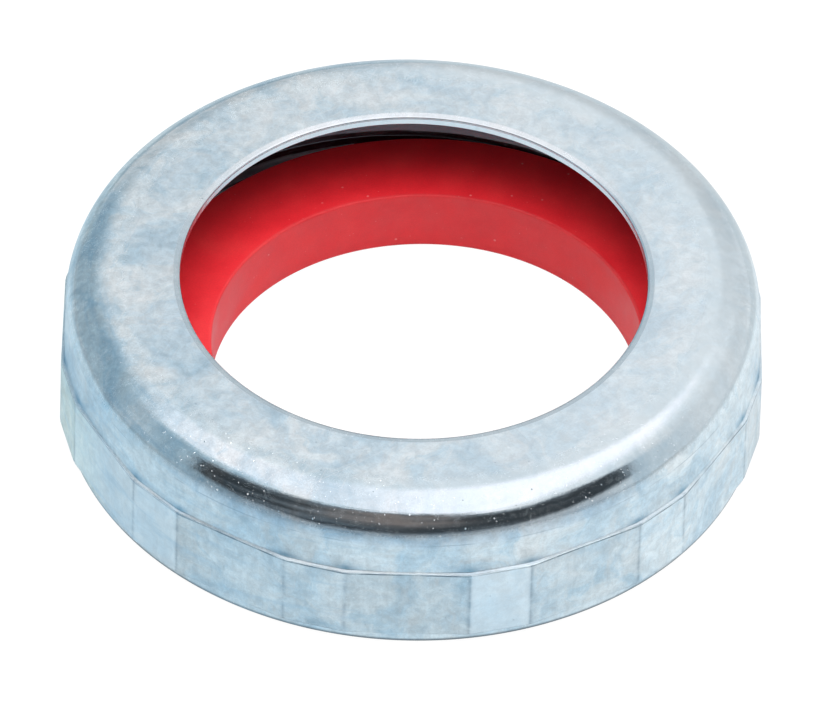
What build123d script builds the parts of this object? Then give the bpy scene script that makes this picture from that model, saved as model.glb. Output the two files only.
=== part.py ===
from build123d import *
import math
import os

# Slip-joint reducing nut with its loose flat sealing washer.
#
# The nut is one drawn steel cup: a flat crown with a round tube hole, a large
# outer radius, a plain round wall and, below a small step, a skirt pressed
# into twelve wide and twelve narrow gripping flats.  The skirt carries the
# internal slip-joint thread.  The washer is a plain square-cut ring that lies
# loose in the mouth of the nut.
#
# Frame: +Z up, out of the crown.  Origin on the nut axis, in the plane of the
# open mouth, which is the plane the nut stands on.  All sizes in millimetres.

# ------------------------------------------------------- crown and plain wall
nut_h = 12.3                    # mouth plane to crown face
crown_t = 0.75                  # sheet thickness at the crown
ceiling_z = nut_h - crown_t     # underside of the crown
wall_r = 25.52                  # plain round wall above the skirt
crown_edge_a = 3.6              # crown-to-wall curve, radial half axis
crown_edge_b = 2.9              # crown-to-wall curve, axial half axis

hole_r = 17.15                  # tube hole through the crown
hole_bevel_w = 0.52             # shallow burnished bevel round the hole
hole_bevel_h = 0.075
hole_edge_r = 0.095             # rolled-over upper edge of the hole
hole_burr_r = 0.08              # broken lower edge of the hole

# ------------------------------------------------------------- skirt and foot
n_flats = 12                    # wide flats, one narrow flat between each two
wide_span = 19.9                # degrees subtended by a wide flat
flats_turn = 0.5                # first wide flat, degrees from -Y towards +X
corner_r = 26.18                # skirt corners at the foot of the flats
corner_r_top = 26.10            # skirt corners at the step
corner_round = 1.0              # rounding along each skirt corner
flat_foot_z = 0.92              # foot of the pressed flats
step_z = 6.92                   # step between skirt and plain wall
step_edge_c = 0.14              # chamfer on the step's outer edge
foot_r = 25.78                  # plain round foot below the flats
foot_edge_r = 0.35
foot_overlap = 0.3              # the foot runs this far up inside the skirt

# ------------------------------------------------------------ internal thread
mm_per_inch = 25.4
thread_major_d = 1.90 * mm_per_inch     # 1-1/2 in slip-joint thread
threads_per_inch = 11.5
thread_pitch = mm_per_inch / threads_per_inch
thread_depth = 0.60             # rolled and truncated, crest to root
thread_crest_w = 0.55
thread_flank = 30.0             # each flank, degrees from the thread's plane
thread_z0 = 0.55                # thread starts here
thread_z1 = 5.95                # thread ends here
thread_back_z = 4.835           # height of a ridge's middle at +Y
root_bite = 0.14                # the ridge is rooted this far into the wall
crest_over = 0.22               # excess height, cut off by the crest's cylinder

thread_major_r = thread_major_d / 2
thread_crest_r = thread_major_r - thread_depth

# ---------------------------------------------------------------- plain bore
cavity_r = 24.55                # plain bore between thread and crown
cavity_corner_r = 2.1
cavity_slope_h = 0.25           # height of the slope from thread root to bore
lead_in_r = 24.75               # mouth of the lead-in chamfer
lead_in_h = 0.6
cut_over = 1                    # the inside cut runs this far past both ends

# --------------------------------------------------------------- the washer
tube_d = 31.75                  # nominal 1-1/4 in tube
washer_od = 44.5
washer_id = tube_d + 0.05
washer_h = 5.1
washer_edge_r = 0.18            # small radius on the upper edges
washer_foot_r = 0.25            # small radius on the lower edges
washer_x = 1.15                 # the loose washer lies this far off the axis
washer_y = 0.46


def skirt_corners(radius):
    """Corners of the 24-sided skirt, wide and narrow sides in turn."""
    points = []
    for i in range(n_flats):
        middle = -90.0 + flats_turn + i * 360.0 / n_flats
        for side in (-0.5, 0.5):
            angle = math.radians(middle + side * wide_span)
            points.append((radius * math.cos(angle), radius * math.sin(angle)))
    return points


def make_thread_ridge():
    """A trapezoid carried along a right-hand helix, its ends cut square."""
    flank_slope = math.tan(math.radians(thread_flank))
    half_crest = thread_crest_w / 2
    half_tip = half_crest - crest_over * flank_slope
    half_root = half_crest + (thread_depth + root_bite) * flank_slope
    tip_x = -thread_depth - crest_over

    # two spare turns let the ridge run past both of its cut ends
    helix_turns = (thread_z1 - thread_z0) / thread_pitch + 2.0
    # the helix starts at +X, a quarter turn before +Y, below the thread
    helix_z = thread_back_z - thread_pitch / 4
    while helix_z > thread_z0 - half_root:
        helix_z -= thread_pitch

    with BuildPart() as ridge:
        with BuildLine() as path:
            Helix(
                pitch=thread_pitch,
                height=helix_turns * thread_pitch,
                radius=thread_major_r,
                center=(0, 0, helix_z),
            )
        across_path = Plane(
            origin=path.line @ 0, x_dir=(1, 0, 0), z_dir=path.line % 0
        )
        with BuildSketch(across_path):
            with BuildLine():
                Polyline(
                    (root_bite, -half_root),
                    (tip_x, -half_tip),
                    (tip_x, half_tip),
                    (root_bite, half_root),
                    close=True,
                )
            make_face()
        sweep(path=path.line, is_frenet=True)

        # keep only the threaded length and turn the crest to its cylinder
        with BuildSketch(Plane.XY.offset(thread_z0)):
            Circle(thread_major_r + 2 * root_bite)
            Circle(thread_crest_r, mode=Mode.SUBTRACT)
        extrude(amount=thread_z1 - thread_z0, mode=Mode.INTERSECT)
    return ridge.part


def make_slip_nut():
    ridge = make_thread_ridge()

    # places on the turned outlines, as radius or height
    foot_flat_r = foot_r - foot_edge_r
    foot_top_z = flat_foot_z + foot_overlap
    crown_curve_r = wall_r - crown_edge_a
    crown_curve_z = nut_h - crown_edge_b
    cavity_top_z = ceiling_z - cavity_corner_r
    ceiling_r = cavity_r - cavity_corner_r
    burr_r = hole_r + hole_burr_r
    burr_z = ceiling_z + hole_burr_r
    bevel_foot_r = hole_r + hole_edge_r
    bevel_foot_z = nut_h - hole_bevel_h
    hole_top_z = bevel_foot_z - hole_edge_r
    bevel_top_r = hole_r + hole_bevel_w

    with BuildPart() as nut:
        # outside of the cup: foot, plain wall, crown curve, crown
        with BuildSketch(Plane.XZ):
            with BuildLine():
                Polyline((0, nut_h), (0, 0), (foot_flat_r, 0))
                RadiusArc((foot_flat_r, 0), (foot_r, foot_edge_r), -foot_edge_r)
                Polyline(
                    (foot_r, foot_edge_r),
                    (foot_r, foot_top_z),
                    (wall_r, foot_top_z),
                    (wall_r, crown_curve_z),
                )
                EllipticalCenterArc(
                    (crown_curve_r, crown_curve_z),
                    crown_edge_a,
                    crown_edge_b,
                    start_angle=0,
                    arc_size=90,
                )
                Line((crown_curve_r, nut_h), (0, nut_h))
            make_face()
        revolve(axis=Axis.Z)

        # skirt: pressed flats with rounded corners, slightly wider at the foot
        for z, radius in ((flat_foot_z, corner_r), (step_z, corner_r_top)):
            with BuildSketch(Plane.XY.offset(z)) as section:
                with BuildLine():
                    Polyline(*skirt_corners(radius), close=True)
                make_face()
                fillet(section.vertices(), radius=corner_round)
        loft(ruled=True)

        # break the step's outer edge, leaving the one against the wall
        step_edges = [
            edge
            for edge in nut.edges()
            if abs(edge.center().Z - step_z) < 0.01
            and math.hypot(edge.center().X, edge.center().Y) > wall_r + 0.1
        ]
        chamfer(step_edges, length=step_edge_c)

        # inside of the cup: lead-in, thread root, plain bore, crown hole
        with BuildSketch(Plane.XZ):
            with BuildLine():
                Polyline(
                    (0, -cut_over),
                    (lead_in_r, -cut_over),
                    (lead_in_r, 0),
                    (thread_major_r, lead_in_h),
                    (thread_major_r, thread_z1),
                    (cavity_r, thread_z1 + cavity_slope_h),
                    (cavity_r, cavity_top_z),
                )
                RadiusArc(
                    (cavity_r, cavity_top_z), (ceiling_r, ceiling_z), -cavity_corner_r
                )
                Line((ceiling_r, ceiling_z), (burr_r, ceiling_z))
                RadiusArc((burr_r, ceiling_z), (hole_r, burr_z), hole_burr_r)
                Line((hole_r, burr_z), (hole_r, hole_top_z))
                RadiusArc(
                    (hole_r, hole_top_z), (bevel_foot_r, bevel_foot_z), hole_edge_r
                )
                Polyline(
                    (bevel_foot_r, bevel_foot_z),
                    (bevel_top_r, nut_h),
                    (bevel_top_r, nut_h + cut_over),
                    (0, nut_h + cut_over),
                    (0, -cut_over),
                )
            make_face()
        revolve(axis=Axis.Z, mode=Mode.SUBTRACT)

        add(ridge)
    return nut.part


def make_sealing_washer():
    with BuildPart() as washer:
        with BuildSketch(Plane.XY):
            with Locations((washer_x, washer_y)):
                Circle(washer_od / 2)
                Circle(washer_id / 2, mode=Mode.SUBTRACT)
        extrude(amount=washer_h)
        fillet(washer.edges().group_by(Axis.Z)[-1], radius=washer_edge_r)
        fillet(washer.edges().group_by(Axis.Z)[0], radius=washer_foot_r)
    return washer.part


os.makedirs("parts", exist_ok=True)
pieces = {
    "slip_nut": make_slip_nut(),
    "sealing_washer": make_sealing_washer(),
}
for name, piece in pieces.items():
    piece.label = name
    export_step(piece, f"parts/{name}.step")
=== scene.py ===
"""A zinc plated slip nut standing on its open end, with a red rubber washer inside.

The nut's axis is z and its foot is on z = 0. The crown, with its round hole, is on
top. The camera looks from the front, which is -y, with +x to its right. The washer
lies on the floor inside the nut, a little off the axis.
"""
import math
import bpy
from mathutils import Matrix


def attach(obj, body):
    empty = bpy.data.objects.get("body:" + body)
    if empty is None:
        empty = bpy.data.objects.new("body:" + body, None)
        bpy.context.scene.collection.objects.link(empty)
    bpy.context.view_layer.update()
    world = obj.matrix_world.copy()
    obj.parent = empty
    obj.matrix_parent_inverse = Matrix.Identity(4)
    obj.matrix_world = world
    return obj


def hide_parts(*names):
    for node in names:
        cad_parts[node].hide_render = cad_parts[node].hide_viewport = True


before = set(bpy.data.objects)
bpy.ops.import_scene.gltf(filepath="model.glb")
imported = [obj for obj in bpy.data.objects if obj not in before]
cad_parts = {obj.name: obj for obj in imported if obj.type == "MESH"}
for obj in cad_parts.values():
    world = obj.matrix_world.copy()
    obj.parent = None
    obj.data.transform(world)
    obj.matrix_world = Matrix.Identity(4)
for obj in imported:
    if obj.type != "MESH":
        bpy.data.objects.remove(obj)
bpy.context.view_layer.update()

from types import SimpleNamespace

import bpy
import numpy as np
from mathutils import Matrix, Vector

MM = 0.001
scene = bpy.context.scene
scene.view_settings.view_transform = "Standard"
scene.view_settings.look = "None"
scene.view_settings.exposure = 0.0
scene.view_settings.gamma = 1.0

# ------------------------------------------------------ nut sizes (mm, degrees)
NUT_H = 12.3
CROWN_T = 0.75
CEILING_Z = NUT_H - CROWN_T               # underside of the crown
HOLE_R = 17.15
BEVEL_W, BEVEL_H = 0.52, 0.075            # bevel round the hole
BEVEL_R = HOLE_R + BEVEL_W
HOLE_EDGE = 0.095                         # rolled edge below the bevel
WALL_R = 25.52                            # plain wall above the skirt
CURVE_W, CURVE_H = 3.6, 2.9               # curve from the wall to the crown face
CURVE_Z = NUT_H - CURVE_H
FACE_R = WALL_R - CURVE_W
FOOT_R = 25.78
FOOT_ROUND = 0.35
N_FLATS = 12                              # wide flats, with a narrow one after each
FLAT_PITCH = 360.0 / N_FLATS
WIDE = 19.9                               # angle a wide flat spans
TURN = 0.5                                # turn of the first wide flat from the front
CORNER_R, CORNER_TOP = 26.18, 26.10       # skirt corners at the foot and at the step
CORNER_ROUND = 0.9
FLAT_FOOT, STEP_Z = 0.92, 6.92            # the flats' lower and upper ends
SKIRT_EDGE = 0.085                        # rolled upper edge of the skirt
CAVITY_R = 24.55
CAVITY_CORNER = 2.1
THREAD_MAJOR = 24.13
THREAD_DEPTH = 0.60
THREAD_BACK_Z = 4.835                     # height of a crest at the back (+y)
THREAD_PITCH = 25.4 / 11.5
THREAD_Z0, THREAD_Z1 = 0.55, 5.95
HALF_CREST = 0.55 / 2
HALF_ROOT = HALF_CREST + THREAD_DEPTH * math.tan(math.radians(30.0))
LEAD_R, LEAD_H = 24.75, 0.6               # flared entry below the thread

# Depth of the crease at each corner: the two corners of each wide flat in turn.
SEAM_DEPTH = (
    0.018, 0.022, 0.030, 0.034, 0.022, 0.030, 0.026, 0.020, 0.034, 0.024, 0.028, 0.020,
    0.030, 0.026, 0.022, 0.034, 0.020, 0.028, 0.032, 0.024, 0.030, 0.036, 0.034, 0.026,
)
# Painted reflection: brightness of each flat, as if each mirrored a different light; wide and
# narrow in turn, anticlockwise from the front.
FLAT_REFLECTION = (
    0.88, 1.08, 0.94, 1.03, 1.00, 0.92, 0.96, 1.05, 1.00, 1.04, 0.98, 1.02,
    0.97, 1.05, 1.00, 0.95, 1.03, 1.00, 1.03, 0.97, 1.07, 1.08, 0.94, 0.92,
)

# ------------------------------------------------------------ washer sizes (mm)
WASHER_RO, WASHER_RI, WASHER_H = 22.25, 15.9, 5.1
WASHER_X, WASHER_Y = 1.15, 0.46
WASHER_FOOT_ROUND = 0.25
WASHER_RIM_ROUND, WASHER_BORE_ROUND = 0.2, 0.16


# ---------------------------------------------------------------- mesh helpers
class Rings:
    """Rings of points (mm) that sweep a closed profile round an upright axis."""

    def __init__(self, angles, centre=(0.0, 0.0)):
        self.angles = angles
        self.centre = centre
        self.points = []
        self.marks = {"ledge": [], "hair": [], "flank": []}

    def add(self, radius, height, **marks):
        """Add a ring; radius, height and marks are numbers or one value per angle."""
        shape = self.angles.shape
        radius = np.broadcast_to(np.asarray(radius, float), shape)
        height = np.broadcast_to(np.asarray(height, float), shape)
        x = self.centre[0] + radius * np.cos(self.angles)
        y = self.centre[1] + radius * np.sin(self.angles)
        self.points.append(np.stack([x, y, height], axis=-1))
        for key, rows in self.marks.items():
            rows.append(np.broadcast_to(marks.get(key, 0.0), shape))

    def add_arc(self, centre, radii, degrees, count, shift=(0.0, 0.0)):
        """Rings along an ellipse in the r-z plane, its angles measured from +r."""
        for angle in np.radians(np.linspace(*degrees, count)):
            radius = centre[0] + radii[0] * math.cos(angle)
            height = centre[1] + radii[1] * math.sin(angle)
            self.add(radius + shift[0], height + shift[1])

    def build(self, name):
        """Mesh object with quads between the rings, closed in both directions."""
        grid = np.array(self.points)
        n_rings, n_angles, _ = grid.shape
        verts = (grid * MM).reshape(-1, 3)
        i = np.arange(n_rings)[:, None]
        j = np.arange(n_angles)[None, :]
        row, next_row = i * n_angles, (i + 1) % n_rings * n_angles
        next_j = (j + 1) % n_angles
        quads = np.stack([row + j, row + next_j, next_row + next_j, next_row + j], axis=-1)
        quads = quads.reshape(-1, 4)
        mesh = bpy.data.meshes.new(name)
        mesh.vertices.add(len(verts))
        mesh.vertices.foreach_set("co", verts.astype(np.float32).ravel())
        mesh.loops.add(len(quads) * 4)
        mesh.loops.foreach_set("vertex_index", quads.astype(np.int32).ravel())
        mesh.polygons.add(len(quads))
        starts = np.arange(0, len(quads) * 4, 4, dtype=np.int32)
        mesh.polygons.foreach_set("loop_start", starts)
        mesh.update(calc_edges=True)
        mesh.validate()
        mesh.polygons.foreach_set("use_smooth", np.ones(len(mesh.polygons), bool))
        mesh.update()
        obj = bpy.data.objects.new(name, mesh)
        scene.collection.objects.link(obj)
        return obj


def wobble(angles, waves, seed):
    """A smooth periodic deviation of unit size, summed from waves per turn."""
    rng = np.random.default_rng(seed)
    out = np.zeros_like(angles)
    for wave in waves:
        out += rng.normal() * np.cos(wave * angles + rng.uniform(0, 2 * math.pi))
    return out / math.sqrt(len(waves) / 2.0)


# --------------------------------------------------------------------- skirt
def flat_middle(k):
    """Bearing in degrees of the middle of wide flat k."""
    return -90.0 + TURN + FLAT_PITCH * k


def skirt_angles():
    """Angles round the nut, closer together at the skirt's corners."""
    out = []
    half = math.degrees(CORNER_ROUND / CORNER_R) * 0.62 + 0.25
    for k in range(N_FLATS):
        middle = flat_middle(k)
        start, end = middle - WIDE / 2, middle + WIDE / 2
        next_start = middle + FLAT_PITCH - WIDE / 2
        stops = (start + half, end - half, end + half, next_start - half, next_start + half)
        for first, last, count in zip(stops, stops[1:], (24, 12, 12, 12)):
            out += list(np.linspace(first, last, count, endpoint=False))
    return np.radians(np.array(out))


def skirt_radius(angles, corner):
    """Radius of the 24-sided skirt with rounded corners."""
    wide_apothem = corner * math.cos(math.radians(WIDE / 2))
    narrow_apothem = corner * math.cos(math.radians((FLAT_PITCH - WIDE) / 2))
    sides = []
    for k in range(N_FLATS):
        middle = math.radians(flat_middle(k))
        sides.append((middle, wide_apothem))
        sides.append((middle + math.radians(FLAT_PITCH / 2), narrow_apothem))
    # a smooth minimum over the sides' half planes rounds the corners
    reach = []
    for bearing, apothem in sides:
        c = np.cos(angles - bearing)
        reach.append(np.where(c > 0.5, apothem / np.maximum(c, 0.5), 1e3))
    nearest, second = np.sort(np.array(reach), axis=0)[:2]
    softness = 0.055
    share = np.clip(0.5 + 0.5 * (second - nearest) / softness, 0, 1)
    return second * (1 - share) + nearest * share - softness * share * (1 - share)


def nearest_corner(angles):
    """Distance along the arc (mm) to the nearest corner, and its crease depth."""
    distance, depth = np.full(len(angles), 9.0), np.zeros(len(angles))
    for k in range(N_FLATS):
        for j, side in enumerate((-WIDE / 2, WIDE / 2)):
            corner = math.radians(flat_middle(k) + side)
            away = (angles - corner + math.pi) % (2 * math.pi) - math.pi
            away = np.abs(away) * CORNER_R
            near = away < distance
            distance = np.where(near, away, distance)
            depth = np.where(near, SEAM_DEPTH[2 * k + j], depth)
    return distance, depth


def flat_reflections(angles):
    """Painted reflection brightness of the flat at each angle."""
    degrees = (np.degrees(angles) + 90.0 - TURN) % 360.0
    tone = np.ones(len(angles))
    for k in range(N_FLATS):
        away = (degrees - FLAT_PITCH * k + 180.0) % 360.0 - 180.0
        tone = np.where(np.abs(away) <= WIDE / 2, FLAT_REFLECTION[2 * k], tone)
        away = (degrees - FLAT_PITCH * k - FLAT_PITCH / 2 + 180.0) % 360.0 - 180.0
        tone = np.where(np.abs(away) < (FLAT_PITCH - WIDE) / 2, FLAT_REFLECTION[2 * k + 1], tone)
    return tone


def add_skirt(rings, foot, top):
    """Rounded foot, then the flats; foot and top are the skirt's end radii."""
    rings.add(LEAD_R + 0.2, 0.0)
    rings.add(FOOT_R - 0.45, 0.0)
    rings.add_arc((FOOT_R - FOOT_ROUND, FOOT_ROUND), (FOOT_ROUND, FOOT_ROUND), (-90, 0), 7)
    for z in (0.55, 0.76, FLAT_FOOT - 0.05):
        rings.add(FOOT_R, z)
    # a short crisp shoulder from the round foot to the flats
    base = np.maximum(foot, FOOT_R - 0.02)
    rings.add(FOOT_R * 0.35 + base * 0.65, FLAT_FOOT)
    rings.add(base, FLAT_FOOT + 0.06)
    for z in np.linspace(FLAT_FOOT + 0.16, STEP_Z - 0.30, 14):
        up = (z - FLAT_FOOT) / (STEP_Z - FLAT_FOOT)
        flat = np.clip((z - FLAT_FOOT) / 0.35, 0, 1)
        radius = foot * (1 - up) + top * up
        rings.add(base * (1 - flat) + radius * flat, z)


def add_step_and_wall(rings, top):
    """Rolled upper edge of the skirt, a hollow run in, then the plain wall."""
    lift = wobble(rings.angles, [4, 7, 11, 16, 29], 9) * 0.022
    edge_z = STEP_Z - SKIRT_EDGE
    # inset, height from edge_z, ledge highlight mark, painted shade line mark
    for inset, rise, ledge, hair in (
        (0.0, -0.16, 0, 0), (0.004, -0.10, 0, 0.6), (0.012, -0.050, 0, 1.0),
        (0.006, -0.005, 0.1, 0.5),
    ):
        rings.add(top - inset, edge_z + rise + lift, ledge=ledge, hair=hair)
    for angle, ledge in zip(np.radians([14, 32, 50, 68, 84]), (0.9, 1.0, 1.0, 0.7, 0.3)):
        rings.add(
            top - SKIRT_EDGE + SKIRT_EDGE * math.cos(angle),
            edge_z + SKIRT_EDGE * math.sin(angle) + lift,
            ledge=ledge,
        )
    out = np.maximum(top - SKIRT_EDGE - WALL_R, 0.04)
    flare = 0.66 * out
    gap = out - flare
    hollow = np.minimum(0.07, gap * 0.8)
    for f in (0.15, 0.5, 1.0):
        radius = WALL_R + flare + gap * (1 - f) + hollow * f
        rings.add(radius, STEP_Z + lift + 0.035 * f, ledge=0.60)
    for angle, ledge in zip(np.radians([25, 45, 65, 88]), (0.50, 0.30, 0.15, 0.0)):
        rings.add(
            WALL_R + flare + hollow * (1 - math.sin(angle)),
            STEP_Z + lift + 0.035 + hollow * (1 - math.cos(angle)),
            ledge=ledge,
        )
    dent = wobble(rings.angles, [3, 5, 8, 13], 4) * 0.012
    heights = [STEP_Z + 0.24 + 0.13 * k for k in range(12)]
    for z in heights + [STEP_Z + 1.95, STEP_Z + 2.2, CURVE_Z]:
        bulge = math.sin(math.pi * (z - STEP_Z) / (CURVE_Z - STEP_Z))
        f = min(1.0, max(0.0, (z - STEP_Z - 0.05) / 1.7))
        rings.add(WALL_R + dent * bulge + flare * (1 - f) ** 2 * (1 + 0.4 * f), z)


# ------------------------------------------------------- crown, hole and cavity
def add_crown(rings):
    """Crown curve, then the slightly dished face in to the bevel."""
    rings.add_arc((FACE_R, CURVE_Z), (CURVE_W, CURVE_H), (3, 90), 34)
    for radius in np.linspace(FACE_R - 0.25, BEVEL_R + 0.12, 14):
        f = (radius - HOLE_R) / (FACE_R - HOLE_R)
        rings.add(radius, NUT_H - 0.010 * math.sin(math.pi * f))


def add_hole(rings):
    """Bevel, rolled edge, a fine score, then the plain cut."""
    rings.add(BEVEL_R + 0.02, NUT_H - 0.002)
    uneven = wobble(rings.angles, [5, 9, 14, 23], 31) * 0.012
    for f in (0.03, 0.2, 0.5, 0.8, 0.97):
        radius = HOLE_R + BEVEL_W * (1 - f) + HOLE_EDGE * f
        rings.add(radius, NUT_H - BEVEL_H * f + uneven * f * (1 - f))
    cut_z = NUT_H - BEVEL_H - HOLE_EDGE
    rings.add_arc((HOLE_R + HOLE_EDGE, cut_z), (HOLE_EDGE, HOLE_EDGE), (84, 178), 7)
    for out, drop in ((0.018, 0.02), (0.018, 0.045), (0.002, 0.06)):
        rings.add(HOLE_R + out, cut_z - drop)
    for z in np.linspace(cut_z - 0.09, CEILING_Z + 0.10, 5):
        rings.add(HOLE_R, z)
    rings.add_arc((HOLE_R + 0.08, CEILING_Z + 0.08), (0.08, 0.08), (180, 268), 6)


def add_cavity(rings):
    """Underside of the crown, the rounded corner and the wall above the thread."""
    corner_r, corner_z = CAVITY_R - CAVITY_CORNER, CEILING_Z - CAVITY_CORNER
    for radius in np.linspace(HOLE_R + 0.3, corner_r - 0.1, 6):
        rings.add(radius, CEILING_Z)
    rings.add_arc((corner_r, corner_z), (CAVITY_CORNER, CAVITY_CORNER), (90, 0), 12)
    for z in np.linspace(corner_z - 0.2, THREAD_Z1 + 0.3, 6):
        rings.add(CAVITY_R, z)
    rings.add((CAVITY_R + THREAD_MAJOR) / 2, THREAD_Z1 + 0.12)


# -------------------------------------------------------------------- thread
def height_from_crest(angles, z):
    """Signed height above the nearest thread crest."""
    turns = (z - THREAD_BACK_Z) / THREAD_PITCH - (angles - math.pi / 2) / (2 * math.pi)
    return (turns - np.round(turns)) * THREAD_PITCH


def thread_radius(angles, z):
    """Inner radius of the threaded wall."""
    away = np.abs(height_from_crest(angles, z))
    ridge = np.clip((HALF_ROOT - away) / (HALF_ROOT - HALF_CREST), 0, 1)
    ridge = ridge * ridge * (3 - 2 * ridge) * 0.35 + ridge * 0.65
    fade = np.clip((z - THREAD_Z0) / 0.12, 0, 1) * np.clip((THREAD_Z1 - z) / 0.12, 0, 1)
    return THREAD_MAJOR - THREAD_DEPTH * ridge * fade


def flank_highlight(angles, z):
    """Painted highlight on the thread's upper side, strongest from the right to the back."""
    above = height_from_crest(angles, z)
    face = ((above > HALF_CREST - 0.03) & (above < HALF_ROOT + 0.12)).astype(float)
    degrees = np.degrees(angles) % 360.0
    fade = np.clip((122.0 - degrees) / 24.0, 0, 1) * np.clip((degrees - 20.0) / 25.0, 0, 1)
    return face * (0.12 + 0.88 * fade)


def add_thread(rings):
    """Threaded wall, then the flared entry down to the foot."""
    angles = rings.angles
    for z in np.linspace(THREAD_Z1, THREAD_Z0 + 0.02, 76):
        rings.add(thread_radius(angles, z), z, flank=flank_highlight(angles, z))
    rings.add(THREAD_MAJOR, LEAD_H)
    for f in (0.33, 0.66, 0.97):
        rings.add(THREAD_MAJOR + (LEAD_R - THREAD_MAJOR) * f, LEAD_H * (1 - f))
    rings.add(LEAD_R + 0.02, 0.0)


# ----------------------------------------------------------------- whole pieces
def build_nut():
    angles = skirt_angles()
    rings = Rings(angles)
    seam_distance, seam_depth = nearest_corner(angles)
    crease = np.clip(1 - seam_distance / 0.20, 0, 1) * seam_depth
    foot = skirt_radius(angles, CORNER_R) - crease
    top = skirt_radius(angles, CORNER_TOP) - crease
    add_skirt(rings, foot, top)
    add_step_and_wall(rings, top)
    add_crown(rings)
    add_hole(rings)
    n_outside = len(rings.points)
    add_cavity(rings)
    add_thread(rings)
    obj = rings.build("slip_nut_shell")

    # marks for the material, stored on the vertices
    grid = np.array(rings.points)
    on_skirt = (grid[:, :, 2] > FLAT_FOOT) & (grid[:, :, 2] < STEP_Z - 0.02)
    on_skirt &= np.hypot(grid[:, :, 0], grid[:, :, 1]) > 25.3
    inside = (np.arange(len(grid)) >= n_outside)[:, None]
    marks = {
        "flat_reflection": np.where(on_skirt, flat_reflections(angles)[None, :], 1.0),
        "seam": np.where(on_skirt, np.clip(1 - seam_distance / 0.30, 0, 1)[None, :], 0.0),
        "ledge": np.array(rings.marks["ledge"]),
        "inside": inside,
        "flank": np.array(rings.marks["flank"]),
        "hair": np.array(rings.marks["hair"]),
        "near_seam": np.clip(1 - seam_distance / 1.5, 0, 1)[None, :],
    }
    for key, values in marks.items():
        attribute = obj.data.attributes.new(key, "FLOAT", "POINT")
        values = np.broadcast_to(values, on_skirt.shape).astype(np.float32)
        attribute.data.foreach_set("value", values.ravel())
    return obj


def build_washer():
    angles = np.linspace(0, 2 * math.pi, 360, endpoint=False)
    rings = Rings(angles, centre=(WASHER_X, WASHER_Y))
    bore = wobble(angles, [2, 3, 5], 21) * 0.03
    rim = wobble(angles, [2, 3, 4], 22) * 0.025
    lift = wobble(angles, [1, 2, 3], 23) * 0.015 * 0.5
    inner, outer, height = WASHER_RI, WASHER_RO, WASHER_H
    foot, edge, lip = WASHER_FOOT_ROUND, WASHER_RIM_ROUND, WASHER_BORE_ROUND
    # up the outside
    rings.add_arc((outer - foot, foot), (foot, foot), (-90, 0), 7, shift=(rim, 0.0))
    for z in np.linspace(0.6, height - 0.5, 9):
        rings.add(outer + rim, z)
    rings.add_arc((outer - edge, height - edge), (edge, edge), (0, 90), 7, shift=(rim, lift))
    # across the slightly dished top
    for radius in np.linspace(outer - edge - 0.2, inner + 0.26, 16):
        f = (radius - inner) / (outer - inner)
        dish = 0.03 * math.sin(math.pi * f)
        rings.add(radius + bore * (1 - f) + rim * f, height + lift - dish)
    # down the bore and back under the foot
    rings.add_arc((inner + lip, height - lip), (lip, lip), (90, 180), 7, shift=(bore, lift))
    for z in np.linspace(height - 0.35, 0.4, 11):
        rings.add(inner + bore, z)
    rings.add_arc((inner + foot, foot), (foot, foot), (180, 270), 6, shift=(bore, 0.0))
    for radius in np.linspace(inner + 0.6, outer - 0.6, 10):
        rings.add(radius, 0.0)
    return rings.build("washer_ring")


# ---------------------------------------------------------------- node helpers
# Each helper adds a node to the tree last passed to start_tree. A value may be a
# socket or a plain number, vector or colour.
def start_tree(owner):
    """Empty the owner's node tree and make it the one the helpers write to."""
    global tree
    owner.use_nodes = True
    tree = owner.node_tree
    tree.nodes.clear()
    return owner


def put(socket, value):
    """Link or set an input; None leaves its default."""
    if value is None:
        return
    if hasattr(value, "is_output"):
        tree.links.new(value, socket)
    elif socket.type == "RGBA":
        socket.default_value = (*value, 1.0)
    else:
        socket.default_value = value


def node(kind, inputs=None, **settings):
    made = tree.nodes.new("ShaderNode" + kind)
    for key, value in settings.items():
        setattr(made, key, value)
    for key, value in (inputs or {}).items():
        put(made.inputs[key], value)
    return made


def calc(operation, first, second=None, clamp=False):
    inputs = {0: first, 1: second}
    return node("Math", inputs, operation=operation, use_clamp=clamp).outputs[0]


def fold(operation, values):
    """Apply a two-value operation from left to right."""
    out = values[0]
    for value in values[1:]:
        out = calc(operation, out, value)
    return out


def mul(*values):
    return fold("MULTIPLY", values)


def add(*values):
    return fold("ADD", values)


def sub(first, second):
    return calc("SUBTRACT", first, second)


def largest(*values):
    return fold("MAXIMUM", values)


def linear(value, slope, offset):
    return add(mul(value, slope), offset)


def length(x, y):
    return calc("SQRT", add(mul(x, x), mul(y, y)))


def vec(x, y, z):
    return node("CombineXYZ", {0: x, 1: y, 2: z}).outputs[0]


def grey(value):
    return vec(value, value, value)


def split(vector):
    return node("SeparateXYZ", {0: vector}).outputs[:3]


def scaled(vector, factor):
    inputs = {0: vector, 1: (factor, factor, factor)}
    return node("VectorMath", inputs, operation="MULTIPLY").outputs[0]


def shifted(vector, offset):
    return node("VectorMath", {0: vector, 1: offset}, operation="ADD").outputs[0]


def noise(vector, scale, detail=3, rough=0.5, distort=0.0, output="Fac"):
    inputs = {"Vector": vector, "Scale": scale, "Detail": detail,
              "Roughness": rough, "Distortion": distort}
    return node("TexNoise", inputs).outputs[output]


def streaks(axes, detail, rough):
    """Noise on axes that are (value, cells per unit) pairs or fixed numbers."""
    axes = [mul(*axis) if isinstance(axis, tuple) else axis for axis in axes]
    return noise(vec(*axes), scale=1.0, detail=detail, rough=rough)


def voronoi(vector, scale):
    return node("TexVoronoi", {"Vector": vector, "Scale": scale}, feature="F1").outputs


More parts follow.
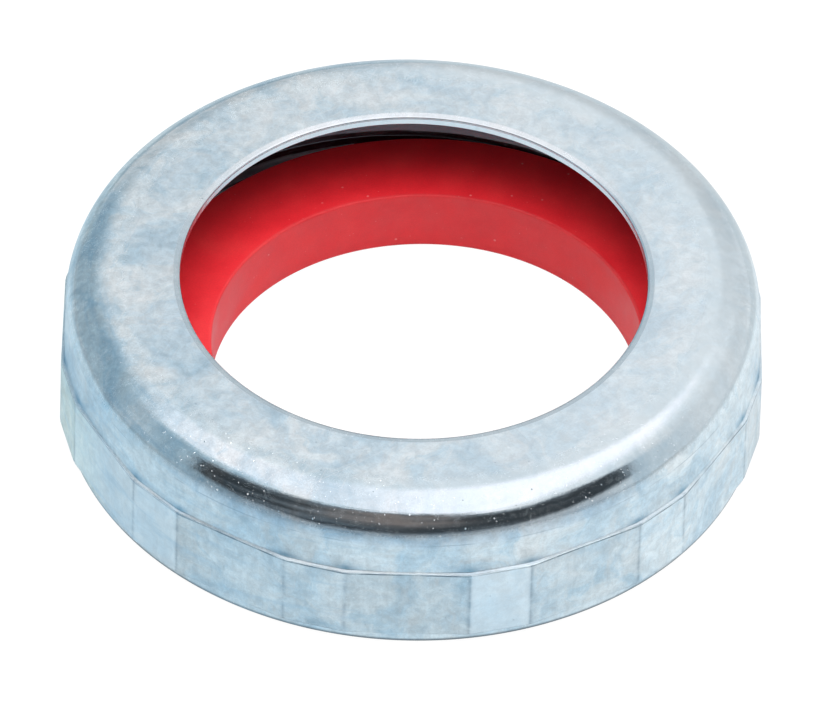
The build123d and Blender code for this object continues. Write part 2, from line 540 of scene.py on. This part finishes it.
def step(value, ends, to=(0.0, 1.0)):
    """Smooth step from to[0] at ends[0] to to[1] at ends[1]."""
    (low, out_low), (high, out_high) = sorted(zip(ends, to))
    inputs = {"Value": value, "From Min": low, "From Max": high,
              "To Min": out_low, "To Max": out_high}
    return node("MapRange", inputs, interpolation_type="SMOOTHSTEP").outputs["Result"]


def zone(*limits):
    """Mask from (value, where it is 0, where it is 1) limits, multiplied together."""
    return mul(*[step(value, (none, full)) for value, none, full in limits])


def ramp(value, stops):
    """Colour ramp from (position, colour) stops."""
    made = node("ValToRGB", {0: value})
    elements = made.color_ramp.elements
    while len(elements) < len(stops):
        elements.new(0.5)
    for element, (position, colour) in zip(elements, stops):
        element.position = position
        element.color = (*colour, 1.0)
    return made.outputs[0]


def paint(base, colour, mask, amount=None, mode="MIX"):
    """Lay a colour over the base where the mask is 1, at the given strength."""
    if amount is not None:
        mask = mul(mask, amount)
    inputs = {0: mask, 6: base, 7: colour}
    return node("Mix", inputs, data_type="RGBA", blend_type=mode).outputs[2]


def times(base, factor):
    return paint(base, factor, mask=1.0, mode="MULTIPLY")


def brighten(base, change):
    """Scale the base by 1 + change."""
    return times(base, grey(add(change, 1.0)))


def between(mask, at_none, at_full):
    """The first value where the mask is 0, the second where it is 1."""
    return node("Mix", {0: mask, 2: at_none, 3: at_full}, data_type="FLOAT").outputs[0]


def bumps(layers):
    """Normal from stacked (height, strength, distance in metres) layers."""
    normal = None
    for height, strength, distance in layers:
        inputs = {"Strength": strength, "Distance": distance,
                  "Height": height, "Normal": normal}
        normal = node("Bump", inputs).outputs[0]
    return normal


def attribute(name):
    return node("Attribute", attribute_name=name).outputs["Fac"]


def object_mm():
    """Object coordinates in millimetres."""
    return scaled(node("TexCoord").outputs["Object"], 1000.0)


def principled(colour, roughness, normal, **more):
    inputs = {"Base Color": colour, "Roughness": roughness, "Normal": normal, **more}
    return node("BsdfPrincipled", inputs).outputs[0]


def mix_shader(mask, first, second):
    return node("MixShader", {0: mask, 1: first, 2: second}).outputs[0]


# ------------------------------------------------------------ zinc plated steel
def zinc_surface():
    """Coordinates (mm), shared noises and vertex marks the zinc is made from."""
    surf = SimpleNamespace(point=object_mm())
    point = surf.point
    surf.x, surf.y, surf.z = split(point)
    surf.radius = length(surf.x, surf.y)
    surf.arc = mul(calc("ARCTAN2", surf.y, surf.x), 25.0)
    swirl = noise(point, scale=0.16, detail=3, rough=0.55, output="Color")
    surf.warped = shifted(point, scaled(shifted(swirl, (-0.5, -0.5, -0.5)), 9.0))
    moved = shifted(surf.warped, (31.0, 7.0, 3.0))
    surf.cloud = noise(moved, scale=0.33, detail=6, rough=0.66, distort=0.8)
    surf.grain = noise(point, scale=7.0, detail=3, rough=0.6)
    surf.drawn = streaks(((surf.arc, 0.07), (surf.z, 3.4), 2.0), detail=4, rough=0.6)
    surf.curve = zone((surf.radius, 20.9, 22.2), (surf.z, 9.9, 10.9))
    surf.rim = zone((surf.radius, BEVEL_R + 0.05, BEVEL_R - 0.08), (surf.z, 11.0, 11.3))
    surf.ledge = attribute("ledge")
    surf.inside = attribute("inside")
    return surf


def zinc_bloom(surf):
    """Cloudy colours of the plating, blotches a few millimetres across."""
    cloud = noise(surf.warped, scale=0.17, detail=7, rough=0.62, distort=0.4)
    tone = ramp(cloud, [(0.30, (0.415, 0.560, 0.665)), (0.44, (0.555, 0.680, 0.765)),
                        (0.55, (0.675, 0.760, 0.810)), (0.70, (0.785, 0.830, 0.855))])
    tone = paint(tone, (0.700, 0.725, 0.735), zone((surf.cloud, 0.52, 0.68)), amount=0.40)
    tone = paint(tone, (0.410, 0.585, 0.705), zone((surf.cloud, 0.46, 0.33)), amount=0.45)
    moved = shifted(surf.point, (5.0, 91.0, 13.0))
    mottle = noise(moved, scale=1.15, detail=5, rough=0.7, distort=0.5)
    tone = times(tone, grey(step(mottle, (0.30, 0.72), to=(0.87, 1.10))))
    tone = times(tone, grey(step(surf.grain, (0.3, 0.7), to=(0.955, 1.04))))
    # painted light: a little brighter to the front and right
    tone = brighten(tone, add(mul(surf.x, 0.0026), mul(surf.y, -0.0012)))
    # the skirt's far left side is a touch yellower
    mask = zone((surf.x, -21.5, -24.5), (surf.z, 7.0, 6.8))
    tone = paint(tone, times(tone, (1.06, 1.07, 0.97)), mask)
    # the crown face is more even to the right
    even = mul(step(surf.x, (-6.0, 14.0), to=(0.0, 0.32)), zone((surf.z, 11.8, 12.1)))
    tone = paint(tone, (0.715, 0.785, 0.835), even)
    # the skirt's left side is slightly darker
    mask = zone((surf.x, -12.0, -18.0), (surf.z, 7.0, 6.8))
    return paint(tone, times(tone, (0.985, 0.955, 0.935)), mask)


def zinc_marks(surf, tone):
    """Fine scratches, lines round the wall and upright marks on the skirt."""
    pale, dull = (0.78, 0.82, 0.85), (0.45, 0.52, 0.58)
    # direction (radians), cells per mm along x-y and z, strength, colour
    for turn, along, upward, amount, colour in (
        (0.6, 0.16, 0.3, 0.22, pale), (2.2, 0.13, 1.3, 0.16, dull), (1.2, 0.20, 2.3, 0.22, pale),
    ):
        cosine, sine = math.cos(turn), math.sin(turn)
        length_mm = add(mul(surf.x, cosine), mul(surf.y, sine))
        across_mm = sub(mul(surf.y, cosine), mul(surf.x, sine))
        axes = ((length_mm, along), (across_mm, 5.5), (surf.z, upward))
        scratch = streaks(axes, detail=2, rough=0.5)
        tone = paint(tone, colour, zone((scratch, 0.655, 0.71)), amount=amount)
    wall = zone((surf.z, 6.9, 7.2), (surf.radius, 22.5, 24.5))
    lines = step(surf.drawn, (0.42, 0.66), to=(-0.022, 0.022))
    tone = brighten(tone, mul(lines, wall))
    upright = streaks(((surf.arc, 1.5), (surf.z, 0.16), 7.0), detail=4, rough=0.62)
    lines = step(upright, (0.40, 0.66), to=(-0.030, 0.030))
    tone = brighten(tone, mul(lines, zone((surf.z, 6.95, 6.8))))
    # a broken dark line round the top of the wall
    drift = streaks(((surf.arc, 0.16), 4.0, 17.0), detail=4, rough=0.6)
    away = calc("ABSOLUTE", sub(surf.z, add(9.38, mul(drift, 0.22))))
    mask = zone((away, 0.075, 0.02), (drift, 0.44, 0.58), (surf.radius, 24.9, 25.2))
    return paint(tone, (0.25, 0.35, 0.43), mask, amount=0.45)


def zinc_step(surf, tone):
    """A painted dark shade line under a painted pale highlight on the step's edge, with painted
    blue reflection and shade by each corner.
    """
    z = surf.z
    # the painted highlight on the ledge is broken up and dimmed towards the left and the right
    highlight_breaks = streaks(((surf.arc, 0.22), 9.0, 1.0), detail=4, rough=0.6)
    surf.ledge = mul(
        surf.ledge,
        step(highlight_breaks, (0.34, 0.60), to=(0.35, 1.0)),
        step(surf.x, (-17.0, -2.0), to=(0.22, 1.0)),
        step(surf.x, (22.0, 8.0), to=(0.40, 1.0)),
    )
    near = attribute("near_seam")
    # painted reflection: bluer above the step by each corner
    tint = mul(near, zone((z, 6.93, 7.0)), zone((z, 7.75, 7.0)))
    tone = paint(tone, (0.24, 0.43, 0.58), tint, amount=0.55)
    # painted shade: a darker blue wedge closest to each corner
    corner_shade = mul(mul(near, near), zone((z, 6.93, 6.98), (z, 7.40, 7.02)))
    tone = paint(tone, (0.15, 0.32, 0.45), corner_shade, amount=0.55)
    # painted pale highlight along the ledge
    tone = paint(tone, (0.82, 0.92, 0.97), surf.ledge, amount=0.8)
    # painted dark shade line in the groove under the edge
    uneven = streaks(((surf.arc, 0.45), 3.0, 8.0), detail=4, rough=0.6)
    hairline = mul(attribute("hair"), step(uneven, (0.34, 0.58), to=(0.35, 1.0)))
    return paint(tone, (0.07, 0.12, 0.17), hairline)


def zinc_skirt(surf, tone):
    """Painted shade on the foot, the painted reflection tone of each flat and painted shade in
    the broken creases at the corners.
    """
    # painted shade: the foot is darkened where it mirrors the shaded floor by the contact
    tone = paint(tone, (0.10, 0.12, 0.14), zone((surf.z, 0.52, 0.24)), amount=0.88)
    # painted reflection: each flat lighter or darker, and the lightest ones also paler
    flat = attribute("flat_reflection")
    tone = paint(tone, (0.650, 0.725, 0.780), step(flat, (1.045, 1.08), to=(0.0, 0.5)))
    tone = times(tone, grey(flat))
    # painted shade in the creases at the corners, broken up along their length
    gaps = streaks(((surf.arc, 0.35), (surf.z, 0.8), 12.0), detail=3, rough=0.6)
    broken = step(gaps, (0.36, 0.60), to=(0.30, 1.0))
    crease = mul(calc("POWER", attribute("seam"), 1.5), broken)
    return paint(tone, (0.20, 0.27, 0.34), crease, amount=0.55)


def zinc_curve_and_cup(surf, tone):
    """Painted shade and light on the crown curve, the cup's inside and the bevel, and the
    curve's even right side and blue arcs.
    """
    x, y, z, inside = surf.x, surf.y, surf.z, surf.inside
    # painted shade and reflection: the foot of the curve at the front is darker and bluer
    front = zone((z, 8.9, 9.9), (z, 10.85, 10.45), (y, -17.0, -22.0))
    front = mul(front, step(surf.cloud, (0.30, 0.70), to=(1.0, 0.65)))
    tone = paint(tone, times(tone, (0.78, 0.835, 0.895)), front)
    # painted light: the curve at the back left is paler
    back = mul(zone((z, 11.80, 11.45), (z, 9.9, 10.6)), zone((y, 0.5, 6.0), (x, -13.0, -19.0)))
    tone = paint(tone, times(tone, (1.25, 1.18, 1.12)), back)
    # painted shade: the inside is a duller, darker grey, darkest in a painted shadow band at mid
    # thread
    dull = mul(inside, step(z, (1.6, 3.4), to=(0.22, 0.60)))
    tone = paint(tone, (0.24, 0.24, 0.30), dull)
    thread_shadow = mul(inside, zone((z, 2.4, 3.2), (z, 4.85, 4.55)))
    tone = paint(tone, (0.050, 0.045, 0.050), thread_shadow, amount=0.80)
    # the curve is more even to the right, with blue arcs on the left
    calm = mul(surf.curve, zone((x, -14.0, 5.0)))
    tone = paint(tone, (0.660, 0.750, 0.812), calm, amount=0.60)
    axes = ((surf.arc, 0.13), (sub(surf.radius, z), 0.95), 31.0)
    arcs = streaks(axes, detail=5, rough=0.66)
    arcs = zone((arcs, 0.50, 0.66), (surf.radius, 21.0, 23.0), (x, 4.0, -8.0))
    tone = paint(tone, (0.36, 0.53, 0.66), arcs, amount=0.34)
    # painted shade and highlight on the bevel: darker at the front, paler at the back
    bevel = paint((0.42, 0.50, 0.56), (0.75, 0.79, 0.82), zone((y, 0.0, 14.0)))
    return paint(tone, bevel, surf.rim, amount=0.62)


def zinc_roughness(surf):
    """Polished crown curve; the flat face and the walls are softer."""
    moved = shifted(surf.warped, (3.0, 17.0, 57.0))
    patch = noise(moved, scale=0.42, detail=5, rough=0.65)
    curve = step(patch, (0.48, 0.70), to=(0.075, 0.13))
    flat = step(surf.cloud, (0.32, 0.68), to=(0.30, 0.44))
    rough = between(surf.curve, flat, curve)
    rough = between(surf.rim, at_none=rough, at_full=0.22)
    return calc("ADD", rough, step(surf.grain, (0.35, 0.75), to=(-0.02, 0.03)), clamp=True)


def zinc_normal(surf):
    """Slow dents, orange peel, drawn lines, fine grain and pits."""
    point = surf.point
    dents = sub(noise(point, scale=0.30, detail=2, rough=0.5), 0.5)
    dents = mul(dents, between(surf.curve, at_none=1.0, at_full=0.55))
    peel = sub(noise(point, scale=1.5, detail=4, rough=0.6), 0.5)
    peel = mul(peel, between(surf.curve, at_none=1.0, at_full=0.5))
    tiny = noise(point, scale=14.0, detail=3, rough=0.6)
    cells = voronoi(shifted(point, (2.0, 5.0, 9.0)), scale=1.05)["Distance"]
    pits = zone((cells, 0.075, 0.02), (noise(point, scale=0.8, detail=2), 0.47, 0.56))
    axes = ((surf.arc, 0.09), (sub(surf.radius, surf.z), 5.0), 21.0)
    curve_lines = mul(sub(streaks(axes, detail=4, rough=0.7), 0.5), surf.curve)
    return bumps((
        (dents, 0.55, 0.00012),
        (peel, 0.35, 0.000035),
        (surf.drawn, 0.25, 0.00001),
        (tiny, 0.22, 0.000010),
        (pits, 0.55, 0.00008),
        (curve_lines, 0.25, 0.000012),
    ))


def specks(point, offset, scale, radius, share):
    """Scattered dots of about the given radius (mm) in a share of the cells."""
    cells = voronoi(shifted(point, offset), scale)
    pick, spread, _ = split(cells["Color"])
    size = step(spread, (0.0, 1.0), to=(0.5, 1.25))
    near = calc("DIVIDE", cells["Distance"], mul(size, radius * scale))
    return zone((near, 1.15, 0.55), (pick, 1.0 - share, 1.005 - share))


def zinc_dust_and_highlight_mask(surf):
    """Where a matt pale coat shows: dust specks, hairlines and haze, and as painted highlights
    the ledge and the thread's upper flanks.
    """
    point = surf.point
    coarse = specks(point, (11.0, 3.0, 29.0), scale=2.3, radius=0.062, share=0.26)
    small = specks(point, (1.0, 23.0, 9.0), scale=3.6, radius=0.044, share=0.46)
    thin = noise(shifted(point, (40.0, 0.0, 8.0)), scale=0.35, detail=3)
    dust = mul(
        largest(coarse, mul(small, 0.9)),
        step(thin, (0.36, 0.54), to=(0.45, 1.0)),
        step(surf.y, (-13.0, -18.0), to=(0.30, 1.0)),
        between(surf.curve, at_none=0.45, at_full=1.0),
    )
    axes = ((surf.arc, 0.10), (sub(surf.radius, surf.z), 4.5), 5.0)
    lines = streaks(axes, detail=3, rough=0.65)
    lines = zone((lines, 0.60, 0.72), (noise(point, scale=0.35, detail=2), 0.42, 0.60))
    moved = shifted(surf.warped, (9.0, 2.0, 77.0))
    haze = zone((noise(moved, scale=0.8, detail=5, rough=0.7), 0.50, 0.74))
    dust = largest(dust, mul(lines, 0.16, surf.curve), mul(haze, 0.085))
    # painted highlights: the ledge and the thread's upper flanks take the pale coat too
    return largest(mul(dust, 0.75), mul(surf.ledge, 0.66), mul(attribute("flank"), 0.92))


def zinc_material():
    mat = start_tree(bpy.data.materials.new("zinc_plated_steel"))
    surf = zinc_surface()
    tone = zinc_bloom(surf)
    for layer in (zinc_marks, zinc_step, zinc_skirt, zinc_curve_and_cup):
        tone = layer(surf, tone)
    normal = zinc_normal(surf)
    metal = principled(tone, zinc_roughness(surf), normal, Metallic=1.0)
    # the pale coat is real dust and also the painted highlights on the ledge and the thread,
    # paler and bluer on the ledge and inside
    outer_dust_and_highlight = paint((0.73, 0.80, 0.85), (0.79, 0.92, 0.99), surf.ledge)
    dust_and_highlight_colour = paint(outer_dust_and_highlight, (0.83, 0.94, 1.00), surf.inside)
    dust = principled(dust_and_highlight_colour, roughness=0.55, normal=normal)
    node("OutputMaterial", {"Surface": mix_shader(zinc_dust_and_highlight_mask(surf), metal, dust)})
    return mat


# ------------------------------------------------------------------ red rubber
def rubber_material():
    mat = start_tree(bpy.data.materials.new("red_rubber"))
    point = object_mm()
    x, y, _ = split(point)
    from_axis_x, from_axis_y = sub(x, WASHER_X), sub(y, WASHER_Y)
    radius = length(from_axis_x, from_axis_y)
    mottle = noise(point, scale=0.35, detail=4, rough=0.6)
    grain = noise(point, scale=9.0, detail=3, rough=0.65)
    tone = ramp(mottle, [(0.34, (0.69, 0.015, 0.024)), (0.52, (0.74, 0.019, 0.028)),
                         (0.70, (0.77, 0.026, 0.033))])
    tone = times(tone, grey(step(grain, (0.3, 0.7), to=(0.94, 1.05))))
    # the bore has a slightly chalky bloom that also stands in for a painted sheen, and painted
    # shade darkens it to the right
    bore = zone((radius, WASHER_RI + 0.35, WASHER_RI + 0.05))
    smear = noise(point, scale=0.55, detail=4, rough=0.6)
    chalk_and_sheen = mul(bore, step(smear, (0.30, 0.75), to=(0.028, 0.062)))
    tone = paint(tone, (0.78, 0.34, 0.34), chalk_and_sheen)
    # painted shade on the bore, darker to the right
    shade = mul(bore, step(from_axis_x, (-8.0, 13.0), to=(0.11, 0.27)))
    tone = paint(tone, (0.20, 0.004, 0.006), shade)
    # pale dust and smaller flecks
    dust = voronoi(shifted(point, (7.0, 3.0, 19.0)), scale=0.62)["Distance"]
    keep = noise(shifted(point, (4.0, 50.0, 8.0)), scale=0.7, detail=3)
    dust = mul(zone((dust, 0.085, 0.03), (keep, 0.52, 0.60)), 0.5)
    fleck = voronoi(shifted(point, (1.0, 13.0, 2.0)), scale=2.1)["Distance"]
    fleck = zone((fleck, 0.12, 0.05), (noise(point, scale=1.1, detail=2), 0.55, 0.65))
    tone = paint(tone, (0.85, 0.62, 0.58), largest(mul(dust, 0.6), mul(fleck, 0.18)))
    rough = add(step(mottle, (0.3, 0.7), to=(0.40, 0.52)), mul(bore, 0.05))
    peel = noise(point, scale=3.2, detail=4, rough=0.6)
    normal = bumps(((mottle, 0.25, 0.00008), (peel, 0.22, 0.00003), (grain, 0.25, 0.000012)))
    rubber = principled(tone, rough, normal, **{"Specular IOR Level": 0.30})
    node("OutputMaterial", {"Surface": rubber})
    return mat


# --------------------------------------------------------- directions from camera
# The camera and lights keep their places while the object turns, so the floor and
# the studio are laid out from where the camera stands.
def from_camera(kind, vector):
    """A camera-space point or vector, split into world x, y and z."""
    moved = node("VectorTransform", {0: vector}, vector_type=kind,
                 convert_from="CAMERA", convert_to="WORLD")
    return split(moved.outputs[0])


def camera_bearing():
    """Unit bearing of the line of sight over the floor, its length and its rise."""
    look_x, look_y, look_z = from_camera("VECTOR", (0.0, 0.0, 1.0))
    look_y = add(look_y, 0.0001)
    reach = length(look_x, look_y)
    return calc("DIVIDE", look_x, reach), calc("DIVIDE", look_y, reach), reach, look_z


def turned(x, y, bearing_x, bearing_y):
    """x and y as distances to the camera's right and away from it."""
    right = sub(mul(x, bearing_y), mul(y, bearing_x))
    return right, add(mul(x, bearing_x), mul(y, bearing_y))


# ------------------------------------------------------------------------ floor
def floor_reflection():
    """The floor as glossy rays see it: cool on the left, dimmer further out."""
    x, y, _ = split(node("TexCoord").outputs["Object"])
    bearing_x, bearing_y, _, _ = camera_bearing()
    right, depth = turned(x, y, bearing_x, bearing_y)       # metres
    side = zone((right, -0.045, 0.045))
    tint = paint((0.84, 1.07, 1.20), (1.24, 1.275, 1.28), side)
    away = length(right, depth)
    fall = mul(zone((away, 0.050, 0.120)), between(side, at_none=0.48, at_full=0.32))
    ahead = zone((depth, 0.0, -0.06), (right, -0.12, -0.03))
    fall = add(fall, mul(ahead, step(away, (0.07, 0.20), to=(0.0, 0.34))))
    behind = mul(zone((depth, 0.010, 0.034)), 0.30)
    fall = sub(1.0, largest(fall, behind))
    return node("Emission", {"Color": tint, "Strength": mul(fall, 0.81)}).outputs[0]


def build_floor():
    half, level = 3.0, -0.00003      # metres
    mesh = bpy.data.meshes.new("floor")
    corners = ((-half, -half), (half, -half), (half, half), (-half, half))
    mesh.from_pydata([(x, y, level) for x, y in corners], [], [(0, 1, 2, 3)])
    obj = bpy.data.objects.new("floor", mesh)
    scene.collection.objects.link(obj)
    mat = start_tree(bpy.data.materials.new("pale_floor"))
    rays = node("LightPath").outputs
    matt = node("BsdfDiffuse", {"Color": (0.92, 0.93, 0.94)}).outputs[0]
    lit = mix_shader(mul(rays["Is Glossy Ray"], 0.92), matt, floor_reflection())
    glow = node("Emission", {"Color": (1.0, 1.0, 1.0), "Strength": 1.05}).outputs[0]
    lit = mix_shader(mul(rays["Is Camera Ray"], 0.92), lit, glow)
    # seen from below, the floor is out of the way
    _, _, eye_z = from_camera("POINT", (0.0, 0.0, 0.0))
    clear = node("BsdfTransparent").outputs[0]
    surface = mix_shader(calc("LESS_THAN", eye_z, 0.0), lit, clear)
    node("OutputMaterial", {"Surface": surface})
    obj.data.materials.append(mat)


# ------------------------------------------------------------------------ light
DEGREES = 57.29578      # in a radian


def dimmed(level, mask, drop, base=1.0):
    """Scale the level by base, less drop where the mask is 1."""
    return mul(level, linear(mask, slope=-drop, offset=base))


def studio_reflection(tilt, bearing, rise):
    """Colour of the studio as reflected by a surface of this tilt and bearing.

    Degrees: tilt is 0 facing up; bearing is 0 facing the camera, positive right.
    """
    off_front = calc("ABSOLUTE", bearing)
    level = between(zone((rise, -0.05, 0.10)), at_none=0.95, at_full=1.0)
    back = zone((off_front, 92.0, 125.0), (tilt, 6.0, 20.0), (tilt, 37.0, 29.0))
    level = dimmed(level, back, drop=0.22)
    # the broad grey left side, then its part nearer the front
    far = add(tilt, step(bearing, (-88.0, -122.0), to=(0.0, 44.0)))
    left = zone((bearing, -46.0, -62.0), (bearing, -136.0, -100.0),
                (tilt, 4.0, 26.0), (far, 82.0, 50.0))
    level = between(left, at_none=level, at_full=0.53)
    front_left = zone((bearing, -20.0, -34.0), (bearing, -64.0, -44.0),
                      (tilt, 25.0, 34.0), (tilt, 74.0, 60.0))
    level = between(mul(front_left, 0.9), at_none=level, at_full=0.50)
    # slightly dimmer areas on the right
    right = zone((bearing, 36.0, 46.0), (bearing, 100.0, 70.0),
                 (tilt, 22.0, 36.0), (tilt, 66.0, 56.0))
    level = dimmed(level, right, drop=0.13, base=0.97)
    strip = zone((bearing, 38.0, 43.0), (bearing, 60.0, 46.0),
                 (tilt, 32.0, 39.0), (tilt, 72.0, 62.0))
    level = dimmed(level, strip, drop=0.17)
    edge = zone((bearing, 62.0, 72.0), (bearing, 96.0, 86.0), (tilt, 52.0, 60.0))
    level = dimmed(level, edge, drop=0.10)
    dip = zone((bearing, 72.0, 88.0), (bearing, 126.0, 108.0),
               (tilt, 7.0, 13.0), (tilt, 46.0, 36.0))
    level = dimmed(level, dip, drop=0.13)
    # soft box overhead, with a limit that follows the bearing
    box = add(step(bearing, (-64.0, -44.0), to=(0.0, 0.25)),
              step(bearing, (-8.0, 12.0), to=(0.0, 0.22)))
    inner = sub(tilt, step(bearing, (15.0, 60.0), to=(0.0, 4.5)))
    box = mul(box, zone((bearing, 92.0, 50.0)), zone((inner, 4.5, 11.5)))
    limit = largest(linear(bearing, slope=-0.66, offset=48.9),
                    linear(bearing, slope=-0.38, offset=40.5))
    limit = calc("MINIMUM", linear(bearing, slope=0.18, offset=36.4), limit)
    width = step(bearing, (10.0, 45.0), to=(2.2, 7.0))
    box = mul(box, zone((calc("DIVIDE", sub(tilt, limit), width), 1.0, -1.0)))
    level = add(level, box)
    # the dark front of the studio, and the shade past its lower limit
    start = add(35.5, mul(zone((bearing, 2.0, 15.0), (bearing, 34.0, 20.0)), 5.0))
    end = sub(66.0, mul(bearing, bearing, 0.0085))
    dark = zone((sub(tilt, start), -1.6, 1.8), (sub(tilt, end), 2.0, -2.4),
                (bearing, -40.5, -37.0), (bearing, 43.0, 39.0))
    past = sub(tilt, end)
    shade = zone((past, -3.0, 0.0), (past, 19.0, 0.0),
                 (bearing, -44.0, -34.0), (bearing, 46.0, 34.0))
    level = dimmed(level, shade, drop=0.38)
    # faint streaks in the dark
    place = vec(mul(tilt, 0.24), mul(bearing, 0.028), 3.0)
    streak = zone((noise(place, scale=1.0, detail=4, rough=0.65), 0.44, 0.72))
    strength = between(zone((off_front, 34.0, 6.0)), at_none=0.08, at_full=0.24)
    level = between(dark, level, add(0.050, mul(streak, strength)))
    # cool on the grey sides, a warm box, a blue dark with a brown patch
    cool = mul(largest(left, front_left, mul(strip, 0.40)), sub(1.0, dark))
    cool_rgb = (0.80, 1.03, 1.17)
    colour = vec(*[mul(level, between(cool, at_none=1.0, at_full=c)) for c in cool_rgb])
    lamp = mul(zone((box, 0.04, 0.34)), sub(1.0, dark))
    colour = paint(colour, times(colour, (1.0, 0.950, 0.958)), lamp)
    colour = paint(colour, times(colour, (0.93, 1.03, 1.12)), dark)
    brown = zone((tilt, 35.0, 39.0), (tilt, 57.0, 49.0),
                 (bearing, -20.0, -9.0), (bearing, 14.0, 5.0))
    patchy = noise(shifted(place, (5.0, 2.0, 9.0)), scale=1.0, detail=3, rough=0.6)
    brown = mul(brown, step(patchy, (0.30, 0.60), to=(0.35, 1.0)))
    return paint(colour, (0.31, 0.250, 0.225), brown, amount=0.85)


def diffuse_light(right, depth, rise, side):
    """Grey light on rough surfaces: a soft box overhead and a dim fill."""
    forward = mul(calc("ARCTAN2", mul(depth, -1.0), rise), DEGREES)
    sideways = mul(calc("ARCSINE", right), DEGREES)
    key = zone((forward, -46.0, -30.0), (forward, 47.0, 13.0),
               (sideways, -66.0, -15.0), (sideways, 52.0, 28.0))
    front = zone((forward, 18.0, 34.0), (forward, 92.0, 84.0))
    front_fill = step(forward, (48.0, 68.0), to=(0.34, 0.06))
    fill = between(front, at_none=0.36, at_full=front_fill)
    return grey(add(fill, mul(key, add(3.20, mul(side, 0.75)))))


def build_world():
    world = start_tree(bpy.data.worlds.new("studio"))
    scene.world = world
    x, y, z = split(node("TexCoord").outputs["Generated"])
    bearing_x, bearing_y, reach, look_z = camera_bearing()
    right, depth = turned(x, y, bearing_x, bearing_y)
    # 1 when the camera looks down; -1 from below, which flips the studio over
    side = sub(mul(calc("LESS_THAN", look_z, 0.05), 2.0), 1.0)
    # normal of the surface that mirrors this direction into the camera
    normal_depth = sub(depth, reach)
    normal_up = mul(sub(z, look_z), side)
    rise = mul(z, side)
    tilt = mul(calc("ARCTAN2", length(right, normal_depth), normal_up), DEGREES)
    bearing = mul(calc("ARCTAN2", right, mul(normal_depth, -1.0)), DEGREES)
    rays = node("LightPath").outputs
    colour = studio_reflection(tilt, bearing, rise)
    soft = diffuse_light(right, depth, rise, side)
    colour = paint(colour, soft, rays["Is Diffuse Ray"])
    colour = paint(colour, (1.0, 1.0, 1.0), rays["Is Camera Ray"])
    background = node("Background", {"Color": colour, "Strength": 1.0}).outputs[0]
    node("OutputWorld", {"Surface": background})
    world.cycles.sampling_method = "NONE"


# ----------------------------------------------------------------------- camera
CAM_DISTANCE = 785.5848 * MM     # from the origin
CAM_ELEVATION = 0.7649409        # radians, of its place above the floor
CAM_PITCH = 0.7607353            # radians, of its look below the horizon
CAM_YAW = -0.000016
CAM_ROLL = 0.0310605
CAM_SENSOR, CAM_LENS = 36.0, 464.018085      # mm


def build_camera():
    back, height = math.cos(CAM_ELEVATION), math.sin(CAM_ELEVATION)
    place = Vector((0.0, -CAM_DISTANCE * back, CAM_DISTANCE * height))
    flat, drop = math.cos(CAM_PITCH), math.sin(CAM_PITCH)
    forward = Vector((math.sin(CAM_YAW) * flat, math.cos(CAM_YAW) * flat, -drop))
    level = Vector((math.cos(CAM_YAW), -math.sin(CAM_YAW), 0.0))
    upright = level.cross(forward)
    right = math.cos(CAM_ROLL) * level + math.sin(CAM_ROLL) * upright
    top = -math.sin(CAM_ROLL) * level + math.cos(CAM_ROLL) * upright
    cam = bpy.data.cameras.new("camera")
    cam.sensor_width = CAM_SENSOR
    cam.sensor_fit = "HORIZONTAL"
    cam.lens = CAM_LENS
    cam.clip_start, cam.clip_end = 0.01, 20.0
    obj = bpy.data.objects.new("camera", cam)
    rows = [(right[i], top[i], -forward[i], place[i]) for i in range(3)]
    obj.matrix_world = Matrix((*rows, (0, 0, 0, 1)))
    scene.collection.objects.link(obj)
    scene.camera = obj


# ------------------------------------------------------------------ build them
nut = build_nut()
nut.data.materials.append(zinc_material())
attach(nut, "nut")
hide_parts("slip_nut")

washer = build_washer()
washer.data.materials.append(rubber_material())
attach(washer, "washer")
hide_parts("sealing_washer")

build_floor()
build_world()
build_camera()
